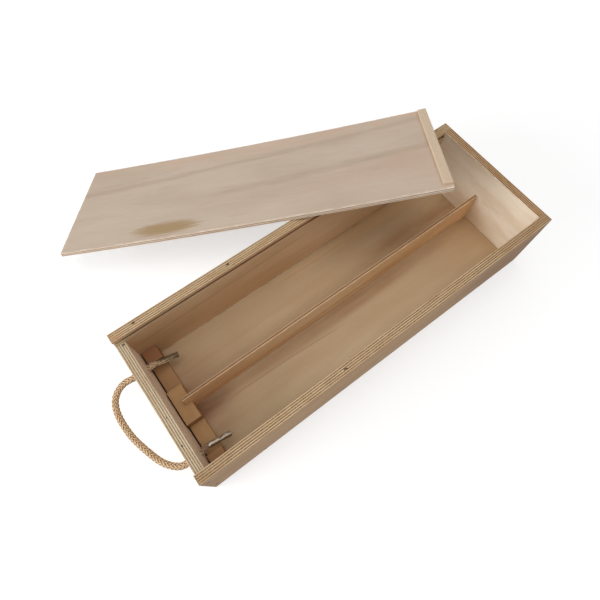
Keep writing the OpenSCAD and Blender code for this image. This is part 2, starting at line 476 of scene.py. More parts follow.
# a smooth curve through the points
def smoothThrough(points, steps):
    made = []
    last = len(points) - 1
    for i in range(last):
        a, b = points[max(i - 1, 0)], points[i]
        c, d = points[i + 1], points[min(i + 2, last)]
        for k in range(steps):
            t = k / steps
            made.append(0.5 * (2 * b + (c - a) * t + (2 * a - 5 * b + 4 * c - d) * t ** 2
                               + (3 * b - a - 3 * c + d) * t ** 3))
    return made + [points[last].copy()]


# the same line with its points a step apart, ends kept
def evenly(points, step):
    lengths = [0.0]
    for a, b in zip(points, points[1:]):
        lengths.append(lengths[-1] + (b - a).length)
    count = max(2, round(lengths[-1] / step))
    made, k = [], 0
    for i in range(count + 1):
        want = lengths[-1] * i / count
        while k < len(points) - 2 and lengths[k + 1] < want:
            k += 1
        share = (want - lengths[k]) / max(lengths[k + 1] - lengths[k], 1e-9)
        made.append(points[k].lerp(points[k + 1], min(max(share, 0), 1)))
    return made


def relaxed(points, rounds):
    for _ in range(rounds):
        points = [points[0]] + [
            (a + 2 * b + c) / 4 for a, b, c in zip(points, points[1:], points[2:])
        ] + [points[-1]]
    return points


# rope from inside its sleeve back to its hole's outer mouth
def insidePart(side):
    mouth, aim = Vector(rope["mouths"][side]), aimOf(rope["aims"][side])
    y = (-0.042, 0.042)[side]
    return [
        mouth + rope["inSleeve"] * aim, mouth + 8 * mm * aim, mouth, mouth - 2 * mm * aim,
        Vector((-0.1705, y, 0.033)), Vector((-0.176, y, 0.033)), Vector((-0.180, y, 0.033)),
    ]


out = Vector((-cos(rope["droop"]), 0, -sin(rope["droop"])))
swingLine = Vector((rope["swingX"], 0, rope["holeHeight"]))
loopPoints = [swingLine + reach * out + Vector((0, y, 0)) for reach, y in loopRoute]
ropeLine = []
for points, steps in ((insidePart(0), 6), (loopPoints, 4), (insidePart(1)[::-1], 6)):
    ropeLine += smoothThrough(points, steps)
ropeLine = evenly(relaxed(evenly(ropeLine, 0.5 * mm), 14), rope["step"])
ropeLength = sum((b - a).length for a, b in zip(ropeLine, ropeLine[1:]))
print("rope length, mm:", round(ropeLength / mm, 1))


def aheadAt(points, i):
    return (points[min(i + 1, len(points) - 1)] - points[max(i - 1, 0)]).normalized()


# a direction and two steady side directions at each point
def lineFrames(points):
    frames = []
    side = Vector((0, 0, 1))
    for i, point in enumerate(points):
        ahead = aheadAt(points, i)
        side = (side - side.dot(ahead) * ahead).normalized()
        frames.append((ahead, side, ahead.cross(side)))
    return frames


# 1 where the rope is free, less where its sleeve squeezes it
def girthAt(distance):
    inside = rope["inSleeve"]
    fromEnd = min(distance, ropeLength - distance)
    share = min(max((fromEnd - inside + 0.5 * mm) / (5 * mm), 0), 1)
    share = share * share * (3 - 2 * share)
    return rope["squeezed"] + (1 - rope["squeezed"]) * share


# one strand of the braid, which goes over two and under two of those that turn the other way
def braidStrand(name, way, index, rng):
    sides, count = 8, rope["strandsEachWay"]
    loose = rng.uniform(-0.06, 0.06)
    verts, path = [], []
    for i, (point, (_, side, over)) in enumerate(zip(ropeLine, lineFrames(ropeLine))):
        far = ropeLength * i / (len(ropeLine) - 1)
        phase = 2 * pi * far / rope["pitch"]
        angle = way * phase + 2 * pi * index / count
        angle += loose * sin(far / (7 * mm) + index)
        lift = way * cos(count / 2 * phase + way * (pi * index - pi / 4))
        girth = girthAt(far)
        radius = girth * (rope["middleRadius"] + rope["overUnder"] * lift)
        outward = turned(angle, side, over)
        path.append((point + radius * outward, outward, girth))
    centres = [centre for centre, _, _ in path]
    for i, (centre, outward, girth) in enumerate(path):
        ahead = aheadAt(centres, i)
        outward = (outward - outward.dot(ahead) * ahead).normalized()
        flat = ahead.cross(outward)
        swell = girth * (1 + 0.07 * sin(i * 0.31 + index * 1.7 + way))
        for k in range(sides):
            verts.append(centre + swell * turned(
                2 * pi * k / sides, rope["halfWidth"] * flat, rope["halfDepth"] * outward))
    return tubeOf(name, verts, sides, index * 13.7 + way * 5.3, 0)


# faces of a closed tube: its rings of vertices start at the vertex numbered first
def tubeFaces(first, rings, sides):
    faces = []
    for row in range(first, first + (rings - 1) * sides, sides):
        for k in range(sides):
            j = (k + 1) % sides
            faces.append((row + k, row + j, row + sides + j, row + sides + k))
    start, end = (range(row, row + sides) for row in (first, first + (rings - 1) * sides))
    return faces + [start[::-1], end]


# a closed tube through rings of vertices; its UV runs in mm along it and once round it
def tubeOf(name, verts, sides, startU, startV):
    rings = len(verts) // sides
    uvs = []
    for i in range(rings - 1):
        for k in range(sides):
            for row, column in ((i, k), (i, k + 1), (i + 1, k + 1), (i + 1, k)):
                uvs.append((row * rope["step"] / mm + startU, column / sides + startV))
    uvs += [(startU, 0.5 + startV)] * (2 * sides)
    return withUvs(name, verts, tubeFaces(0, rings, sides), uvs)


def withUvs(name, verts, faces, uvs):
    mesh = bpy.data.meshes.new(name)
    mesh.from_pydata(verts, [], faces)
    layer = mesh.uv_layers.new(name="alongStrand")
    for loop, place in zip(layer.data, uvs):
        loop.uv = place
    made = bpy.data.objects.new(name, mesh)
    scene.collection.objects.link(made)
    return made


# the shaded heart of the rope, seen between its strands
def ropeCore():
    sides, verts = 12, []
    for i, (point, (_, side, over)) in enumerate(zip(ropeLine, lineFrames(ropeLine))):
        radius = rope["coreRadius"] * girthAt(ropeLength * i / (len(ropeLine) - 1))
        for k in range(sides):
            verts.append(point + radius * turned(-2 * pi * k / sides, over, side))
    return tubeOf("core", verts, sides, 0, rope["coreMark"])


# tan sisal: fine fibres twisted along each strand, pale on top, with painted shade at the strands'
# edges where they meet
def ropeMaterial():
    fibres = {
        "pale": (236, 214, 178), "middle": (214, 184, 144), "deep": (170, 130, 88),
        "straw": (248, 236, 212), "gap": (116, 78, 48), "core": (80, 52, 32),
        "holeShade": (112, 78, 58), "rough": 0.72,
    }
    startMaterial("sisalRope")
    strand = addNode("UVMap", uv_map="alongStrand").outputs[0]
    u, v, _ = apart(strand)
    around = times(v, 2 * pi)
    twist = timesPlus(u, 0.9, around)
    wrap = addNode("CombineXYZ", {
        0: times(u, 0.55), 1: timesPlus(calc("SINE", twist), 2.6, u),
        2: times(calc("COSINE", twist), 2.6),
    }).outputs[0]
    hairs = noise(wrap, (0.25, 2.2, 2.2), 4, 0.7)
    tufts = noise(wrap, (0.25, 0.5, 0.5), 3, 0.6, (7, 3, 9))
    colour = blend(span(hairs, 0.36, 0.64), fibres["deep"], fibres["pale"])
    colour = blend(span(tufts, 0.4, 0.62, 0, 0.7), colour, fibres["middle"])
    colour = blend(span(hairs, 0.6, 0.72, 0, 0.8), colour, fibres["straw"])
    # painted shade in the crevices: darker towards the edges of each strand
    toEdge = absolute(calc("COSINE", around))
    colour = blend(span(toEdge, 0.45, 0.95, 0, 0.85), colour, fibres["gap"])
    inCore = calc("GREATER_THAN", v, rope["coreMark"] - 1)
    colour = blend(times(inCore, 0.85), colour, fibres["core"])
    # painted shade on the rope's near end inside the box, between the hole and its sleeve
    x, y, _ = apart(boardCoords())
    paintedHoleShade = times(span(x, -173.0, -169.0, 0, 0.65), calc("LESS_THAN", y, 0.0))
    colour = blend(paintedHoleShade, colour, fibres["holeShade"])
    rough = timesPlus(hairs, 0.2, fibres["rough"] - 0.1)
    setShader("Specular IOR Level", 0.35)
    setShader("Sheen Weight", 0.15)
    return finishMaterial(colour, rough, hairs, 0.0003, 1.0)


rng = random.Random(12)
strands = [
    braidStrand("strand", way, index, rng)
    for way in (1, -1) for index in range(rope["strandsEachWay"])
]
handleRope = joined(strands + [ropeCore()])
handleRope.name = handleRope.data.name = "handle_rope"
pick(handleRope)
bpy.ops.object.shade_smooth()
sisal = ropeMaterial()
handleRope.data.materials.append(sisal)


# loose fibres: each is (place along the rope, angle round it, length, lean, thickness, and
# its root's distance from the rope's middle), in mm and radians
def addWisps(name, wisps):
    sides, joints = 4, 6
    topOfStrand = 0.25  # V there has the strands' pale tones
    verts, faces, uvs = [], [], []
    frames = lineFrames(ropeLine)
    for far, angle, long, lean, thick, root in wisps:
        i = min(int(far * mm / rope["step"]), len(ropeLine) - 1)
        ahead, side, over = frames[i]
        outward = turned(angle, side, over)
        sideways = ahead.cross(outward)
        start = ropeLine[i] + root * mm * outward
        faces += tubeFaces(len(verts), joints, sides)
        for k in range(joints):
            t = k / (joints - 1)
            rise = sin(lean) * ((1 - 0.35 * t) * outward + 0.5 * t * sideways)
            spine = start + long * mm * t * (cos(lean) * ahead + rise)
            girth = thick * mm * (1 - 0.75 * t) / 2
            for m in range(sides):
                verts.append(spine + girth * turned(2 * pi * m / sides, outward, sideways))
        for k in range(joints - 1):
            uvs += [(far + row, topOfStrand) for row in (k, k, k + 1, k + 1)] * sides
        uvs += [(far, topOfStrand)] * (2 * sides)
    made = withUvs(name, verts, faces, uvs)
    editAll(made)
    bpy.ops.mesh.normals_make_consistent(inside=False)
    objectMode()
    bpy.ops.object.shade_smooth()
    made.data.materials.append(sisal)
    return made


# how far along the rope a place of the plan lies, in mm
def alongRope(x, y):
    away = [(p.x - x) ** 2 + (p.y - y) ** 2 for p in ropeLine]
    return away.index(min(away)) * rope["step"] / mm


ropeMm = ropeLength / mm
sleeveMouth = rope["inSleeve"] / mm
between = rng.uniform
spots = [
    (between(32, ropeMm - 32), between(0, 2 * pi), between(2.5, 6.5), between(0.06, 0.45),
     between(0.07, 0.13), 2.4)
    for _ in range(160)
]
tuft, stray = alongRope(-0.203, -0.0185), alongRope(-0.2076, 0.0264)
spots += [
    (tuft + between(-2, 2), between(1.2, 1.9), between(3, 5), between(0.4, 1.0), 0.12, 2.4)
    for _ in range(12)
]
spots += [(stray + k, 0.9, 6.5, 0.25, 0.16, 2.6) for k in (0, 1.5)]
# fibres that were left outside the far sleeve, and frayed ends that come out of both
spots += [
    (ropeMm - sleeveMouth + between(0, 1), between(0.6, 2.2), between(8, 19), 0.02, 0.24, 2.4)
    for _ in range(18)
]
spots += [
    (place, between(0, 2 * pi), between(5, 8), lean + between(-0.2, 0.2),
     0.22, between(0.1, 1.1))
    for place, lean in ((0.5, pi), (ropeMm - 0.5, 0)) for _ in range(22)
]
looseFibres = addWisps("loose_fibres", spots)

# the places of both go into their meshes; they stand in for the rope's loop and both its ends, and
# the loop hangs from the swing line through the holes
for piece in (handleRope, looseFibres):
    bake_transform(piece)
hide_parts("rope_loop", "rope_end_near", "rope_end_far")


print("sleeves")
sleeve = {
    "length": 21 * mm, "outer": 2.3 * mm, "sheet": 0.4 * mm, "sides": 48, "seamColumns": 2,
    "slices": 28, "burr": 0.09 * mm, "crimpReach": 2.2, "flare": 0.045, "flareReach": 1.2,
    # seam: degrees round the axis, from straight up; crimps: mm along it, and girth there
    "near": {
        "seam": -50, "crimps": ((12.6, 0.86),), "rough": 0.34,
        "bright": (178, 166, 150), "dull": (140, 124, 104), "oxide": (100, 84, 66),
    },
    "far": {
        "seam": 45, "crimps": ((6.0, 0.93), (14.5, 0.90)), "rough": 0.6,
        # darker than the near plate: painted shade, for this sleeve lies in shade
        "bright": (128, 112, 86), "dull": (104, 90, 66), "oxide": (76, 62, 44),
    },
}


# a strip of sheet metal rolled round the rope and crimped
def makeSleeve(name, mouth, aims, seamAngle, crimps):
    middle = sleeve["outer"] - sleeve["sheet"] / 2
    bpy.ops.mesh.primitive_cylinder_add(
        vertices=sleeve["sides"], radius=middle, depth=sleeve["length"], end_fill_type="NOTHING",
        location=(0, 0, sleeve["length"] / 2),
    )
    tube = settle(named(name))
    column = 2 * pi / sleeve["sides"]

    def inSeam(*corners):
        centre = sum(corners, Vector())
        return abs(atan2(centre.y, centre.x)) < column * sleeve["seamColumns"] / 2
    editWanted(tube, "FACE", inSeam)
    bpy.ops.mesh.delete(type="FACE")
    slices = sleeve["slices"]
    sliceUp(Vector(), Vector((0, 0, sleeve["length"] / slices)), slices)
    for ring in sorted({round(v.co.z, 6) for v in tube.data.vertices}):
        squeeze = 1.0
        for place, girth in crimps:
            near = max(0, 1 - abs(ring / mm - place) / sleeve["crimpReach"])
            squeeze -= (1 - girth) * near * near * (3 - 2 * near)
        fromEnd = min(ring, sleeve["length"] - ring) / mm
        flare = 1 + sleeve["flare"] * max(0, 1 - fromEnd / sleeve["flareReach"])
        if abs(squeeze * flare - 1) < 1e-4:
            continue
        for vert in tube.data.vertices:
            vert.select = abs(vert.co.z - ring) < 1e-5
        editMode("VERT")
        bpy.ops.transform.resize(value=(squeeze * flare, flare, 1), center_override=(0, 0, ring))
        objectMode()
    modify(tube, "SOLIDIFY", thickness=sleeve["sheet"], offset=0)
    modify(tube, "BEVEL", width=sleeve["burr"], segments=2, limit_method="ANGLE",
           angle_limit=radians(50))
    bpy.ops.object.shade_smooth_by_angle(angle=radians(40))
    # the seam starts at +X of the tube: turned round its axis, then the axis is aimed
    aim = aimOf(aims)
    up = (Vector((0, 0, 1)) - aim.z * aim).normalized()
    seamSide = turned(radians(seamAngle), up, aim.cross(up))
    turn = Matrix((seamSide, aim.cross(seamSide), aim)).transposed().to_4x4()
    tube.matrix_world = Matrix.Translation(mouth) @ turn
    return settle(tube)


# zinc-plated steel, with rubbed spots, fine scratches and oxide; the far sleeve's darker plate is
# painted shade
def sleeveMaterial(name, plate):
    startMaterial(name)
    spot = boardCoords(along=(1, 0, -0.4))
    clouds = noise(spot, (0.2, 0.4, 0.4), 3, 0.5, (3, 1, 5))
    scratches = noise(spot, (0.5, 9, 9), 3, 0.6)
    specks = noise(spot, (2.2, 2.2, 2.2), 3, 0.6, (9, 2, 4))
    colour = blend(span(clouds, 0.4, 0.62), plate["bright"], plate["dull"])
    colour = blend(span(specks, 0.58, 0.72, 0, 0.6), colour, plate["oxide"])
    rough = timesPlus(clouds, 0.3, plate["rough"] - 0.12)
    rough = timesPlus(scratches, 0.1, rough)
    setShader("Metallic", 0.9)
    height = timesPlus(scratches, 0.6, specks)
    return finishMaterial(colour, rough, height, 0.00002, 0.5)


for side, name in enumerate(("near", "far")):
    tube = makeSleeve("rope_sleeve_" + name + "_rolled", rope["mouths"][side], rope["aims"][side],
                      sleeve[name]["seam"], sleeve[name]["crimps"])
    plated = sleeveMaterial(name + "Sleeve", sleeve[name])
    finished(tube, plated, "rope_sleeve_" + name)


print("walls")
groove = {"bottom": 0.068, "top": 0.0724, "depth": 0.0035}
bradHole = {"head": 1.33 * mm, "depth": 1.0 * mm}
cornerBrads = [(x, z) for x in (-0.176, 0.176) for z in (0.019, 0.059)]
bottomBrads = [(x, floorTop / 2) for x in (-0.129, -0.043, 0.043, 0.129)]
ease = 0.35 * mm

plywood = {
    "plies": 9, "bow": 0, "wander": 9.0, "ripple": 0.4, "rough": 0.62,
    "plyPale": (200, 176, 140), "plyTint": (178, 146, 106), "plyDark": (158, 130, 96),
    "plyDarker": (102, 76, 48), "glue": (120, 88, 56), "glueShare": 0.45,
    "fibre": (140, 106, 72), "fibreShare": 0.16, "pore": (104, 72, 44), "poreShare": 0.2,
    "patchy": 0.7, "streaky": 0.35, "line": (112, 80, 52), "lines": (),
    "wear": (132, 108, 82),
    "face": (4, 3),  # Z of the face that has the tints, and how deep they go
    "spots": (),  # (middle, half size, softness, share, tone)
    "tints": (),  # (X, Y, half X, half Y, softness, share, tone), on the face only
}


# what one board's plywood needs, in metres and tones; the rest is as above
def boardSpec(middle, along, across, size, seed, pale, deep, patch, **own):
    return {**plywood, "middle": middle, "along": along, "across": across, "size": size,
            "seed": seed, "pale": pale, "deep": deep, "patch": patch, **own}


# way is -1 for the near wall and the low end, and 1 for the far wall and the high end
def sideBrads(way):
    return [(x, way * outerSide, z) for x, z in cornerBrads + bottomBrads]


def endBrads(way):
    return [(way * outerEnd, y, floorTop / 2) for y in (-0.0295, 0.0295)]


def cutHeads(board, brads, turn):
    radius, depth = bradHole["head"], 2 * bradHole["depth"]
    return cutAway(board, [addRod("hole", brad, radius, depth, turn, 24) for brad in brads])


def sideWall(name, way, voids):
    low, high = sorted((way * insideSide, way * outerSide))
    board = addBlock(name, (-outerEnd, low, 0), (outerEnd, high, boxHeight))
    easeEdges(board, ease)
    grooveEdge = way * (insideSide + groove["depth"])
    low, high = sorted((way * (insideSide - 2 * mm), grooveEdge))
    cutAway(board, [addBlock("channel", (-outerEnd - mm, low, groove["bottom"]),
                             (outerEnd + mm, high, groove["top"]))])
    cutHeads(board, sideBrads(way), (pi / 2, 0, 0))
    return cutAway(board, [addGouge(*void, k + 3) for k, void in enumerate(voids)])


def endWall(name, way, top):
    low, high = sorted((way * insideEnd, way * outerEnd))
    board = addBlock(name, (low, -insideSide, 0), (high, insideSide, top))
    easeEdges(board, ease)
    return cutHeads(board, endBrads(way), (0, pi / 2, 0))


# a wall's plywood, with painted shade in the gaps in its plies and iron stains round its brads
def wallWood(name, middle, along, size, voids, brads, seed, pale, deep, patch, spots=(), **own):
    x, y = Vector(along), Vector((0, 0, 1))
    turn = Matrix((x, y, x.cross(y)))
    # the gaps and pits get painted shade, nearly black, and the brads get iron stains
    dark = [(*void[:2], 0.35, 0.95, (48, 30, 18)) for void in voids]
    dark += [(brad, (5.6 * mm, 5.6 * mm, 5.6 * mm), 0.7, 0.85, (62, 46, 36)) for brad in brads]
    made = []
    for place, reach, soft, share, tint in dark:
        half = [max(abs(v), 0.3) * 0.55 for v in turn @ Vector(reach) / mm]
        made.append((turn @ (Vector(place) - Vector(middle)) / mm, half, soft, share, tint))
    return plyMaterial(name, boardSpec(
        middle, along, y, size, seed, pale, deep, patch, spots=made + list(spots), **own))


wallSize = (2 * outerEnd, boxHeight, wall)
nearVoids = [
    ((-0.0484, -0.0631, 0.0757), (3.6 * mm, 1.1 * mm, 2.6 * mm), -24),
    ((0.0915, -0.0651, 0.0758), (1.6 * mm, 0.7 * mm, 1.4 * mm), 0),
]
farVoids = [
    ((-0.1585, 0.0638, 0.0757), (3.2 * mm, 2.2 * mm, 2.8 * mm), 10),
    ((-0.0715, 0.0632, 0.0757), (2.8 * mm, 2.2 * mm, 2.8 * mm), -15),
    ((0.1660, 0.0652, 0.0758), (3.0 * mm, 0.9 * mm, 1.6 * mm), 0),
]

# the near wall is browner towards the high end and greyer towards the ground
nearWood = wallWood(
    "nearWallPly", (0, -0.063, 0.038), (1, 0, 0), wallSize, nearVoids, sideBrads(-1), 1,
    (178, 143, 104), (153, 118, 80), (161, 125, 86),
    [((190, 38, 0), (140, 6, 6), 1, 0.35, (112, 70, 32)),
     ((-185, 38, 0), (100, 6, 6), 1, 0.25, (110, 76, 44))],
    plyDark=(150, 120, 86), plyDarker=(86, 62, 38),
    lines=((-170, 22, -20, 26, 1.4, 0.3), (20, 4, 170, -2, 1.6, 0.3),
           (-90, 33, 60, 34, 2.2, 0.4)),
    tints=((0, 16, 420, 46, 0.9, 0.5, (170, 132, 84)),
           (190, 0, 190, 80, 1, 0.95, (116, 76, 30)),
           (-30, -34, 160, 22, 1, 0.4, (186, 158, 124)),
           (-185, 0, 80, 60, 1, 0.65, (136, 100, 60))))
farWood = wallWood(
    "farWallPly", (0, 0.063, 0.038), (1, 0, 0), wallSize, farVoids, sideBrads(1), 2,
    (217, 186, 148), (192, 155, 115), (198, 160, 119),
    [((0, 38, -3.9), (220, 3, 1.5), 0.8, 0.4, (150, 140, 128)),
     # painted shade, dark and warm, inside the lid's groove
     ((0, 32.2, 1.9), (240, 3.4, 2.8), 0.3, 0.8, (170, 112, 80)),
     ((-176, 38, 2.2), (9, 5, 3.2), 0.9, 0.35, (176, 118, 78))], streaky=0.22, fibreShare=0.1,
    lines=((-165, 9.5, 0, 14.0, 1.6, 0.4), (-60, -8, 170, -14, 1.8, 0.25),
           (-150, -24, 60, -20, 1.2, 0.2)),
    # the first tint, darker at the low end, is painted shade
    tints=((-172, 0, 80, 60, 1, 0.6, (160, 122, 84)),
           (60, 0, 110, 60, 1, 0.5, (238, 214, 182))))
finished(sideWall("near_side_board", -1, nearVoids), nearWood, "side_wall_near")
finished(sideWall("far_side_board", 1, farVoids), farWood, "side_wall_far")

print("end walls")
lowTop = 0.0676
endMiddle = insideEnd + wall / 2
lowEnd = endWall("low_end_board", -1, lowTop)
cutAway(lowEnd, [
    addRod("hole", (-endMiddle, y, rope["holeHeight"]), 3.5 * mm, wall + 2 * mm,
           (0, pi / 2, 0), 48)
    for y in (-0.042, 0.042)])
lowPits = [
    ((-0.1741, 0.0565, lowTop - 0.3 * mm), (2.6 * mm, 1.9 * mm, 2.4 * mm), 25),
    ((-0.1769, -0.0360, lowTop - 0.3 * mm), (1.4 * mm, 2.2 * mm, 2.0 * mm), 0),
    ((-0.1757, -0.0120, lowTop - 0.2 * mm), (0.7 * mm, 2.6 * mm, 1.4 * mm), 0),
]
cutAway(lowEnd, [addGouge(*pit, k + 11) for k, pit in enumerate(lowPits)])
highEnd = endWall("high_end_board", 1, boxHeight)
lowWood = wallWood(
    "lowEndPly", (-endMiddle, 0, lowTop / 2), (0, 1, 0), (2 * insideSide, lowTop, wall),
    lowPits, endBrads(-1), 3, (192, 164, 130), (168, 138, 104), (174, 144, 110),
    tints=((0, 0, 300, 160, 0.3, 1.0, (238, 214, 188)),
           # painted shade low on the inner face, in the narrow gap behind the neck rest
           (0, -26, 90, 12, 0.5, 0.9, (64, 36, 20))),
    ripple=0.9, plyPale=(200, 185, 158), plyTint=(184, 160, 128), plyDark=(158, 136, 106),
    plyDarker=(116, 92, 66), glueShare=0.3, lines=((-50, 12, 50, 9, 1.4, 0.4),))
highWood = wallWood(
    "highEndPly", (endMiddle, 0, boxHeight / 2), (0, 1, 0), (2 * insideSide, boxHeight, wall),
    (), endBrads(1), 4, (208, 182, 148), (186, 156, 120), (192, 162, 126),
    face=(-4, 3), patchy=0.4, streaky=0.15, fibreShare=0.08, poreShare=0.08, glueShare=0.9,
    plyPale=(204, 168, 126), plyTint=(176, 132, 88), plyDark=(128, 96, 64),
    plyDarker=(70, 48, 30),
    tints=((0, 0, 300, 160, 0.3, 1.0, (236, 223, 202)),
           (0, -28, 60, 34, 1, 0.6, (188, 154, 106))))
finished(lowEnd, lowWood, "end_wall_low")
finished(highEnd, highWood, "end_wall_high")

print("bottom and divider")
bottom = addBlock(
    "bottom_board", (-insideEnd, -insideSide, 0), (insideEnd, insideSide, floorTop))
easeEdges(bottom, 0.25 * mm)
bottomWood = plyMaterial("bottomPly", boardSpec(
    (0, 0, floorTop / 2), (1, 0, 0), (0, 1, 0), (2 * insideEnd, 2 * insideSide, floorTop), 5,
    (186, 160, 126), (168, 140, 106), (173, 143, 108), plies=5, streaky=0.2, patchy=0.4,
    fibreShare=0.1, poreShare=0.1, face=(3, 3),
    # the second line, along the far wall's foot, is painted shadow of that wall
    lines=((-132, -15, -12, -20, 0.8, 0.45), (-30, 52, 150, 50, 1.8, 0.2)),
    # along the divider in the near bay: painted shadow of the divider, over a reddish grain streak
    tints=((10, -8, 200, 10, 0.7, 0.5, (140, 94, 54)),
           # the next two, beside the neck rest and over the whole low end: painted shade
           (-158, -8, 46, 14, 0.9, 0.85, (88, 40, 14)),
           (-165, 0, 60, 90, 1, 0.7, (124, 78, 44)),
           (170, 0, 80, 90, 1, 0.45, (152, 110, 62)),
           (-20, -44, 200, 16, 0.9, 0.6, (200, 180, 146)),
           (110, 50, 70, 12, 1, 0.5, (216, 180, 138)),
           # the next two, along the divider in the far bay and towards the high end under the lid:
           # painted shade
           (-10, 14, 200, 9, 0.8, 0.4, (156, 128, 96)),
           (120, 20, 110, 16, 0.9, 0.65, (134, 90, 56)),
           (70, 52, 150, 9, 0.8, 0.4, (206, 168, 124)))))
finished(bottom, bottomWood, "bottom_panel")

dividerSetup = {"low": Vector((-0.1623, -1.5 * mm, floorTop)),
                "high": Vector((insideEnd, 1.5 * mm, 0.042))}
divider = addBlock("divider_board", dividerSetup["low"], dividerSetup["high"])
easeEdges(divider, 0.3 * mm)
dividerSize = dividerSetup["high"] - dividerSetup["low"]
dividerWood = plyMaterial("dividerPly", boardSpec(
    (dividerSetup["low"] + dividerSetup["high"]) / 2, (1, 0, 0), (0, 0, 1), dividerSize.xzy, 6,
    (248, 213, 166), (222, 176, 126), (224, 176, 128),
    plies=3, face=(2, 2), ripple=0.1, streaky=0.25,
    # the first tint, darker and redder at the low end, is painted shade
    tints=((-170, 0, 80, 30, 1, 0.7, (196, 128, 82)),
           (-30, 6, 120, 26, 1, 0.7, (255, 240, 208))),
    spots=(((0, 17.75, -1.2), (260, 1, 0.8), 0.3, 0.6, (150, 122, 94)),),
    plyPale=(196, 164, 128), plyTint=(180, 140, 100), plyDark=(124, 84, 56),
    plyDarker=(92, 58, 38), lines=((-60, -4, 150, -12, 2.0, 0.5), (-150, -10, 20, -7, 1.5, 0.4))))
finished(divider, dividerWood, "divider")

print("neck rest")
rest = {
    "low": (-0.1706, -0.0589, floorTop), "high": (-0.1568, 0.0589, 0.028),
    "notchFloor": 0.016, "middleHalf": 0.0165, "shoulder": 0.0459, "slot": 1.6 * mm,
}
block = addBlock("neck_rest_block", rest["low"], rest["high"])
easeEdges(block, 0.4 * mm)
notches = [
    addBlock("notch", (rest["low"][0] - mm, min(a, b), rest["notchFloor"]),
             (rest["high"][0] + mm, max(a, b), rest["high"][2] + mm))
    for a, b in ((rest["middleHalf"], rest["shoulder"]), (-rest["middleHalf"], -rest["shoulder"]))
]
slotCut = addBlock("slot", (dividerSetup["low"].x - 0.1 * mm, -rest["slot"], floorTop - mm),
                   (rest["high"][0] + mm, rest["slot"], rest["high"][2] + mm))
cutAway(block, notches)
cutAway(block, [slotCut])


# the saw leaves the notches' upper edges a little broken
def onNotch(a, b):
    def same(first, second):
        return abs(first - second) < 1e-5
    level = same(a.z, b.z) and same(a.z, rest["high"][2]) and same(a.y, b.y)
    return level and (same(abs(a.y), rest["middleHalf"]) or same(abs(a.y), rest["shoulder"]))


editWanted(block, "EDGE", onNotch)
roundEdges(0.35 * mm)


# redder heartwood towards the ends of the block, and painted shade, most of all at the far end and
# over the far half
def restTints(wood, x):
    redAndShade = calc("ADD", span(x, 43.0, 48.0, 0, 0.75), span(x, -43.0, -48.0, 0, 0.4))
    wood = blend(redAndShade, wood, (124, 72, 46))
    # painted shade on the far half of the block
    return blend(span(x, 12.0, 20.0, 0, 0.35), wood, (128, 84, 52))


pineBlock = {
    "middle": (-0.1637, 0, 0.0172), "along": (0, 1, 0), "across": (1, 0, 0),
    "size": (0.1178, 0.0138, 0.0215), "pith": (-26.0, -14.0), "ring": 1.5, "wobble": 3.0,
    "contrast": 0.35, "pale": (174, 138, 92), "deep": (134, 93, 54),
    "patch": (162, 117, 78), "fibre": (134, 92, 58), "rough": 0.62, "seed": 7,
}
finished(block, solidMaterial("pineNeckRest", pineBlock, restTints), "neck_rest")


print("lid")
lid = {
    "length": 0.3514, "width": 0.1244, "thick": 0.004,
    "lean": 20.56, "turn": 33.98, "cornerX": -0.1128, "bow": 2.15 * mm, "slices": 40,
    "battenWidth": 8 * mm, "battenHeight": 3.4 * mm, "battenLength": 0.1174,
}
lidEnd, lidSide = lid["length"] / 2, lid["width"] / 2
lean, turnAngle = radians(lid["lean"]), radians(lid["turn"])
lidTurn = Matrix.Rotation(-lean, 3, "X") @ Matrix.Rotation(-turnAngle, 3, "Z")
downSlope = Vector((0, cos(lean), -sin(lean)))
# the far left corner stands on the ground, and the middle touches the wall's upper edge
run = (boxHeight + lid["bow"] * cos(lean)) / sin(lean)
lidCorner = Vector((lid["cornerX"], outerSide, boxHeight)) + run * downSlope
lidMiddle = lidCorner + lidTurn @ Vector((lidEnd, -lidSide, 0.05 * mm))


# bends it upwards at both ends, round the middle of the lid
def bowed(thing):
    across = [v.co.x for v in thing.data.vertices]
    thing.rotation_euler = (pi / 2, 0, 0)  # Bend works on X towards Y
    settle(thing)
    angle = -8 * lid["bow"] / lid["length"] * (max(across) - min(across)) / lid["length"]
    modify(thing, "SIMPLE_DEFORM", deform_method="BEND", deform_axis="Z", angle=angle)
    thing.rotation_euler = (-pi / 2, 0, 0)
    return settle(thing)


def leaned(thing):
    thing.matrix_world = Matrix.Translation(lidMiddle) @ lidTurn.to_4x4()
    return settle(thing)


panel = addBlock("lid_board", (-lidEnd, -lidSide, 0), (lidEnd, lidSide, lid["thick"]))
easeEdges(panel, 0.35 * mm)
editAll(panel)
sliceUp(Vector((-lidEnd, 0, 0)), Vector((2 * lidEnd / lid["slices"], 0, 0)), lid["slices"])
leaned(bowed(panel))

batten = addBlock(
    "lid_pull_batten",
    (lidEnd - lid["battenWidth"], -lid["battenLength"] / 2, lid["thick"]),
    (lidEnd, lid["battenLength"] / 2, lid["thick"] + lid["battenHeight"]))
editWanted(batten, "EDGE", lambda a, b: a.z > 0.006 and b.z > 0.006)
roundEdges(0.8 * mm, 4)
editWanted(batten, "EDGE",
           lambda a, b: a.z < 0.0065 and b.z < 0.0065 and abs(a.z - b.z) > 1e-4)
roundEdges(0.3 * mm)
leaned(bowed(batten))


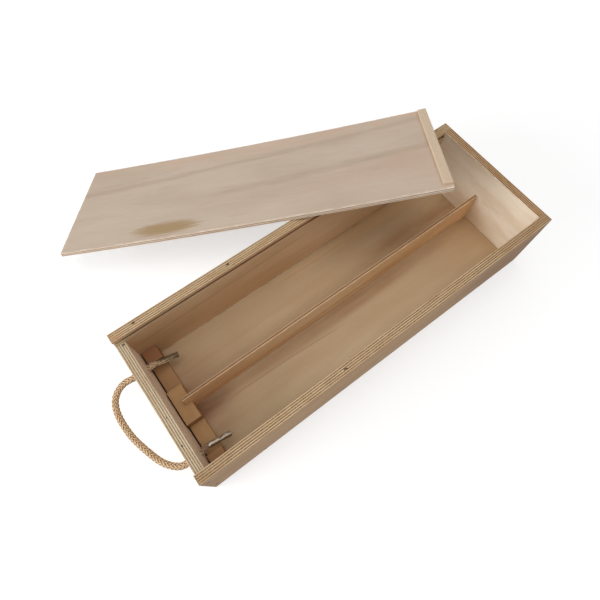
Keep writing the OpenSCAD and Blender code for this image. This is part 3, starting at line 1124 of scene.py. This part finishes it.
# long soft streaks and one brown stain on the lid's top veneer
def lidMarks(wood, x, y, z, grain):
    marks = {
        "grey": (158, 138, 118), "pink": (184, 156, 140), "stain": (148, 122, 82),
        "rose": (196, 160, 134), "stainMiddle": (-76.0, -49.0), "stainHalf": (39.0, 11.0),
    }
    smudge = noise(grain, (0.02, 0.12, 0), 4, 0.6, (5, 8, 0))
    fine = noise(grain, (0.03, 0.6, 0), 4, 0.65, (2, 6, 0))
    patches = noise(grain, (0.03, 0.16, 0), 4, 0.65, (9, 1, 0))
    ragged = noise(grain, (0.035, 0.6, 0), 4, 0.65, (1, 2, 0))

    # how far off a streak is, across it, and the streak itself
    def streak(rise, level, halfWidth):
        off = timesPlus(minus(smudge, 0.5), 9.0, minus(y, timesPlus(x, rise, level)))
        near = minus(1.0, span(absolute(off), 0.0, halfWidth))
        return off, times(near, times(fine, 0.8))
    _, upper = streak(0.085, 35.0, 6.5)
    off, lower = streak(0.075, -9.0, 8.0)
    lower = times(lower, span(x, -90.0, 10.0, 0.15, 1.0))
    below = times(span(off, 0.0, -6.0), span(x, -60.0, 120.0, 0, 0.75))
    below = times(below, span(y, -56.0, -25.0, 0.25, 1.0))
    marked = blend(times(below, smudge), wood, marks["pink"])
    marked = blend(calc("MINIMUM", calc("ADD", upper, lower), 0.8), marked, marks["grey"])
    wispy = times(span(fine, 0.45, 0.7), span(patches, 0.4, 0.65, 0, 0.35))
    marked = blend(wispy, marked, marks["grey"])
    rosy = times(span(y, 34.0, 50.0), span(patches, 0.45, 0.66, 0, 0.5))
    marked = blend(rosy, marked, marks["rose"])
    away = [calc("DIVIDE", minus(place, middle), half)
            for place, middle, half in zip((x, y), marks["stainMiddle"], marks["stainHalf"])]
    reach = calc("SQRT", calc("ADD", *[times(side, side) for side in away]))
    reach = timesPlus(minus(ragged, 0.5), 1.1, reach)
    marked = blend(span(reach, 1.0, 0.45, 0, 0.85), marked, marks["stain"])
    return blend(calc("GREATER_THAN", z, 1.0), wood, marked)


lidAlong, lidAcross, lidUp = lidTurn.col
lidSpec = boardSpec(
    lidMiddle + lidUp * lid["thick"] / 2, lidAlong, lidAcross,
    (lid["length"], lid["width"], lid["thick"]), 8,
    (188, 171, 154), (175, 156, 136), (167, 147, 129), plies=5, bow=lid["bow"], face=(2, 3),
    patchy=0.4, streaky=0.15, ripple=0.15, fibreShare=0.08, poreShare=0.06, glueShare=0.3,
    plyPale=(216, 202, 186), plyTint=(200, 182, 162), plyDark=(166, 144, 122),
    plyDarker=(138, 114, 92), wear=(236, 220, 202),
    tints=((148, -8, 34, 24, 1.0, 0.7, (176, 154, 122)),
           (0, 56, 190, 18, 0.9, 0.5, (196, 172, 152))))
finished(panel, plyMaterial("lidPly", lidSpec, lidMarks), "lid_panel", "lid")

battenMiddle = lidMiddle + lidTurn @ Vector((
    lidEnd - lid["battenWidth"] / 2, 0, lid["thick"] + lid["battenHeight"] / 2 + lid["bow"]))
battenSpec = {
    "middle": battenMiddle, "along": lidAcross, "across": lidAlong,
    "size": (lid["battenLength"], lid["battenWidth"], lid["battenHeight"]),
    "pith": (34.0, -22.0), "ring": 1.7, "wobble": 3.0, "contrast": 0.3,
    "pale": (198, 178, 154), "deep": (174, 148, 118), "patch": (190, 168, 142),
    "fibre": (156, 132, 100), "rough": 0.6, "seed": 9,
}
finished(batten, solidMaterial("pineBatten", battenSpec), "lid_batten", "lid")


print("brads")


# dark bright-drawn steel with a little rust
def bradMaterial():
    steel = {"clean": (120, 116, 110), "rust": (104, 70, 44), "rough": 0.42}
    startMaterial("bradSteel")
    spot = boardCoords()
    rustNoise = noise(spot, (1.6, 1.6, 1.6), 4, 0.65)
    fine = noise(spot, (9, 9, 9), 2, 0.6)
    rusty = span(rustNoise, 0.45, 0.62)
    colour = blend(rusty, steel["clean"], steel["rust"])
    setShader("Metallic", timesPlus(rusty, -0.7, 0.85))
    rough = timesPlus(rusty, 0.35, steel["rough"])
    return finishMaterial(colour, rough, calc("ADD", fine, rustNoise), 0.00005, 0.8)


steel = bradMaterial()
for name in ("corner_brads", "bottom_brads"):
    nodes[name].data.materials.clear()
    nodes[name].data.materials.append(steel)


print("studio")
studio = {
    "floorLight": 0.72,                   # how much light the floor gives back to the box
    "floorSeen": 0.5, "floorGlow": 0.55,  # seen, it is nearly white with soft shadows
    "fadeStart": 350, "fadeEnd": 900,     # and turns quite white between these, in mm
    "worldLight": 0.5,
    # place, watts and size
    "lamps": {
        "window": ((-1.29, 0.35, 0.43), 17.0, 0.9), "ceiling": ((0.05, -0.1, 1.3), 7.0, 0.9),
    },
}
bpy.ops.mesh.primitive_plane_add(size=8, location=(0, 0, 0))
ground = named("studioFloor")
settle(ground)
startMaterial("paleFloor")
rays = addNode("LightPath").outputs
seen = calc("MAXIMUM", rays["Is Glossy Ray"], rays["Is Transmission Ray"])
seen = calc("MAXIMUM", rays["Is Camera Ray"], seen)
level = timesPlus(seen, studio["floorSeen"] - studio["floorLight"], studio["floorLight"])
setShader("Base Color", addNode("CombineColor", {0: level, 1: level, 2: level}).outputs[0])
setShader("Roughness", 0.9)
setShader("Specular IOR Level", 0.0)
setShader("Emission Color", (1, 1, 1, 1))
reach = vectorCalc("LENGTH", boardCoords())["Value"]
glow = span(reach, studio["fadeStart"], studio["fadeEnd"], studio["floorGlow"], 1.0)
setShader("Emission Strength", times(seen, glow))
ground.data.materials.append(current["material"])

world = bpy.data.worlds.new("paleRoom")
scene.world = world
world.use_nodes = True
world.node_tree.nodes.clear()
current["tree"] = world.node_tree
rays = addNode("LightPath").outputs
seen = calc("MAXIMUM", rays["Is Camera Ray"], rays["Is Glossy Ray"])
strength = timesPlus(seen, 1.0 - studio["worldLight"], studio["worldLight"])
sky = addNode("Background", {"Color": (1, 1, 1, 1), "Strength": strength})
addNode("OutputWorld", {"Surface": sky.outputs[0]})


def addLamp(name, place, watts, size):
    bpy.ops.object.light_add(type="AREA", location=place)
    lamp = bpy.context.object
    lamp.name = lamp.data.name = name
    lamp.data.energy = watts
    lamp.data.size = size
    aim = Vector((0, 0, 0.04)) - Vector(place)
    lamp.rotation_euler = aim.to_track_quat("-Z", "Y").to_euler()


for name, lamp in studio["lamps"].items():
    addLamp(name, *lamp)

scene.view_settings.view_transform = "Standard"

print("done")
